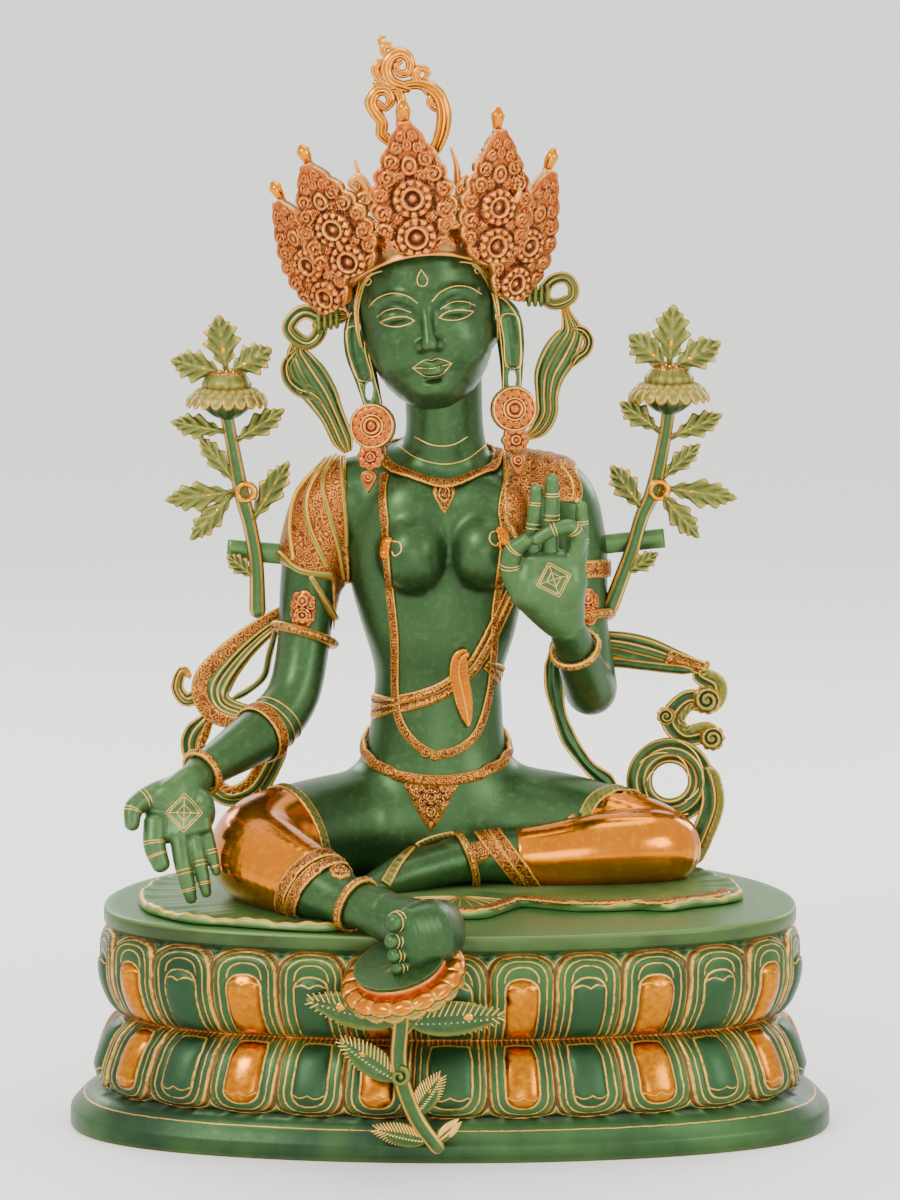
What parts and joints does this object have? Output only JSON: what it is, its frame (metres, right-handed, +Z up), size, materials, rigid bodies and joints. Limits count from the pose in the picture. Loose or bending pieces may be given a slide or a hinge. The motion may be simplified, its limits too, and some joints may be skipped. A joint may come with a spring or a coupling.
{
  "type": "seated goddess figure on a lotus plinth",
  "caption": "Seated goddess with crown, raised and lowered hands, shoulder lotuses and flying scarf ends, one leg forward, on a double lotus plinth.",
  "frame": {"origin": "middle of the plinth's underside, on the floor", "axes": "+Z up, -Y towards the viewer the figure faces, +X to that viewer's right"},
  "size_m": [0.714, 0.516, 1.0084],
  "materials": {
    "patina_brass": "green patina over cast brass, gold in the cut lines, polished copper on the shins",
    "plinth_brass": "green patina with polished copper petals and gold outlines",
    "copper_brass": "rubbed copper colour on cast relief",
    "gilt_brass": "green patina with gold edges"
  },
  "bodies": {
    "root": {"plinth": "plinth_brass", "figure": "patina_brass", "crown": "copper_brass", "topknot_finial": "copper_brass", "ribbon_left": "gilt_brass", "ribbon_right": "gilt_brass", "lotus_left": "gilt_brass", "lotus_right": "gilt_brass", "scarf_left": "gilt_brass", "scarf_right": "gilt_brass", "foot_lotus": "copper_brass"}
  },
  "joints": []
}
